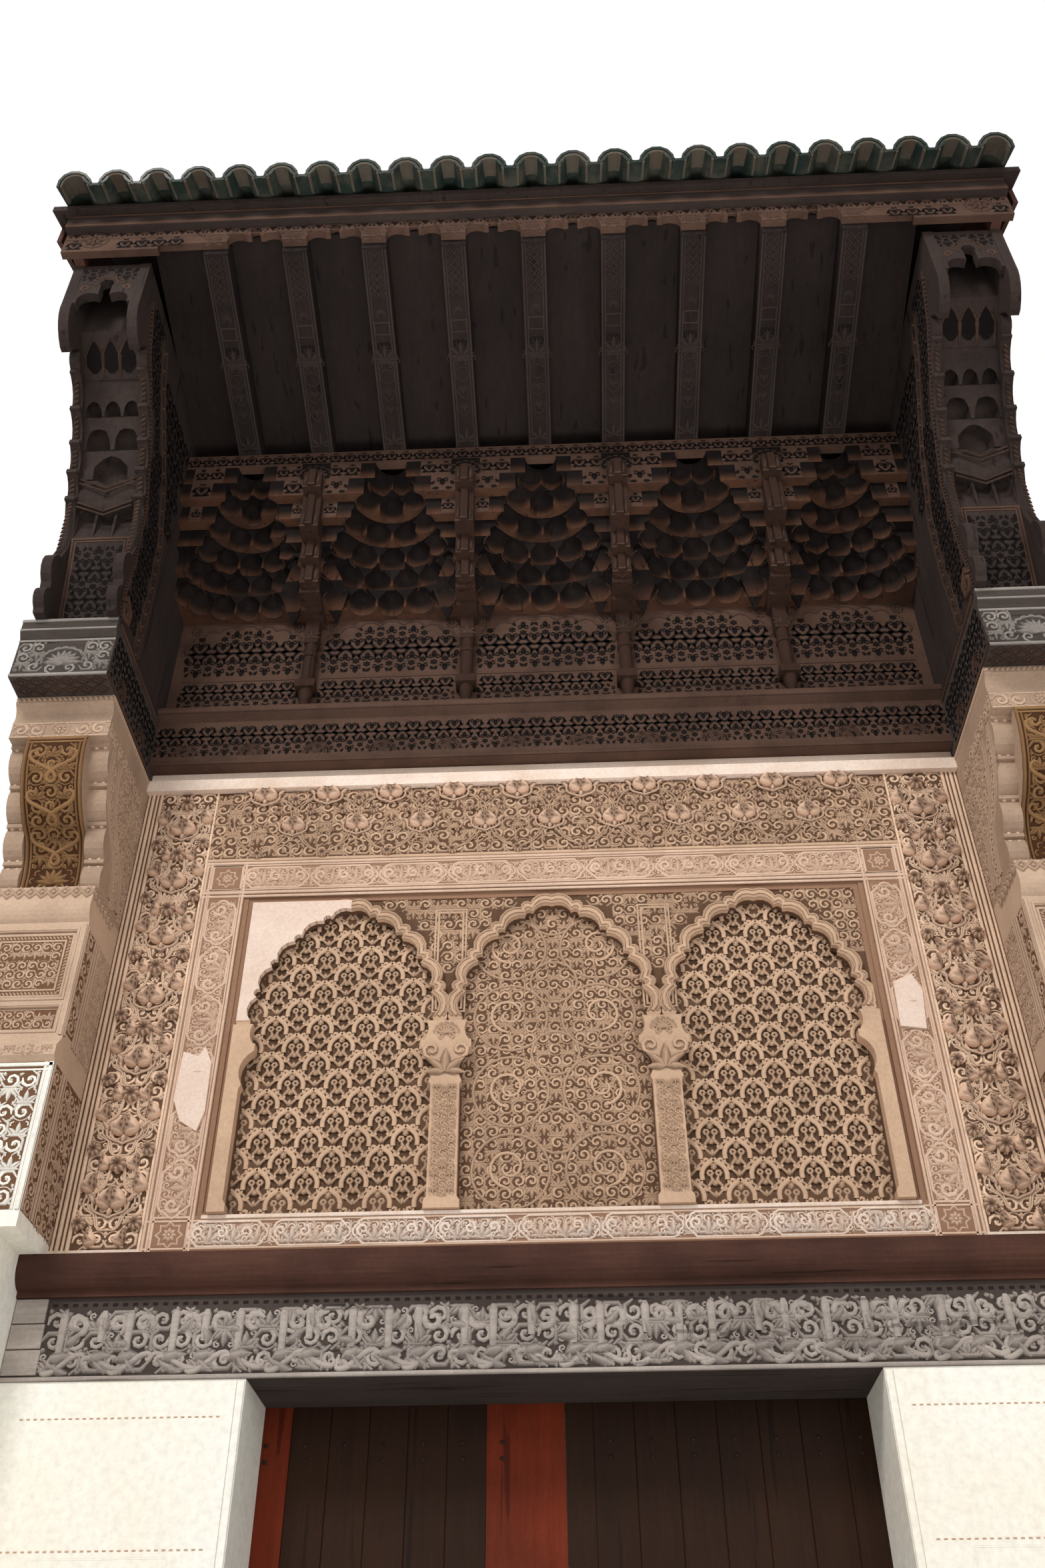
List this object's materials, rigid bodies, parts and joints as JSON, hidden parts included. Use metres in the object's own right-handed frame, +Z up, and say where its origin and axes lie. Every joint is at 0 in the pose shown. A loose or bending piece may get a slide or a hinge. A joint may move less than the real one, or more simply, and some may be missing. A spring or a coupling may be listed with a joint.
{
  "type": "monumental portal bay",
  "caption": "Portal bay with plank door leaves, carved stucco arcade, two piers and a projecting timber hood with a half-round tile roof.",
  "frame": {"origin": "on the ground at the middle of the doorway, in the plane of the wall's front face", "axes": "+X to the right seen from the front, +Y into the wall, +Z up"},
  "size_m": [6.32, 3.0753, 11.5308],
  "materials": {
    "plaster": "matt, worn lime plaster",
    "carved_stucco": "matt carved plaster",
    "threshold_stone": "worn",
    "weathered_timber": "deeply weathered and matt",
    "cedar": "old carved timber, matt",
    "red_plank": "stained planks, matt",
    "door_planks": "dark planks, dull",
    "door_stiles": "red-brown stiles, satin",
    "glazed_tile": "green glaze, worn, mossy"
  },
  "bodies": {
    "root": {"wall_left": "plaster", "wall_right": "plaster", "wall_over_door": "plaster", "threshold": "threshold_stone", "lintel": "weathered_timber", "lintel_cornice": "weathered_timber", "rear_lintel": "weathered_timber", "stucco_frame": "carved_stucco", "arcade_plate": "carved_stucco", "arch_ribbons": "carved_stucco", "arcade_columns": "carved_stucco", "lattice_left": "carved_stucco", "lattice_centre": "carved_stucco", "lattice_right": "carved_stucco", "side_band_left": "carved_stucco", "side_band_right": "carved_stucco", "top_band": "carved_stucco", "stucco_ledge": "plaster", "pier_left_shaft": "carved_stucco", "pier_right_shaft": "carved_stucco", "pier_left_block": "carved_stucco", "pier_right_block": "carved_stucco", "pier_left_console": "carved_stucco", "pier_right_console": "carved_stucco", "beam_left": "cedar", "beam_right": "cedar", "beam_back": "cedar", "hood_panel": "cedar", "hood_colonnettes": "cedar", "hood_vault": "cedar", "rear_frieze": "cedar", "bracket_left_boards": "cedar", "bracket_right_boards": "cedar", "bracket_left_cells": "cedar", "bracket_right_cells": "cedar", "bracket_plates": "cedar", "rafters": "cedar", "ceiling_boards": "cedar", "fascia": "cedar", "eave_plank": "red_plank", "gable_boards": "red_plank", "barge_boards": "red_plank", "roof_deck": "red_plank", "roof_tiles": "glazed_tile"},
    "leaf_left": {"leaf_left_planks": "door_planks", "leaf_left_stiles": "door_stiles", "leaf_left_ledges": "door_stiles"},
    "leaf_right": {"leaf_right_planks": "door_planks", "leaf_right_stiles": "door_stiles", "leaf_right_ledges": "door_stiles"}
  },
  "joints": [
    {"name": "leaf_left_hinge", "type": "hinge", "parent": "root", "child": "leaf_left", "pos_m": [-1.525, 0.518, 0.0277], "axis": [0, 0, 1], "range_deg": [0, 90]},
    {"name": "leaf_right_hinge", "type": "hinge", "parent": "root", "child": "leaf_right", "pos_m": [1.525, 0.518, 0.0277], "axis": [0, 0, -1], "range_deg": [0, 90]}
  ]
}
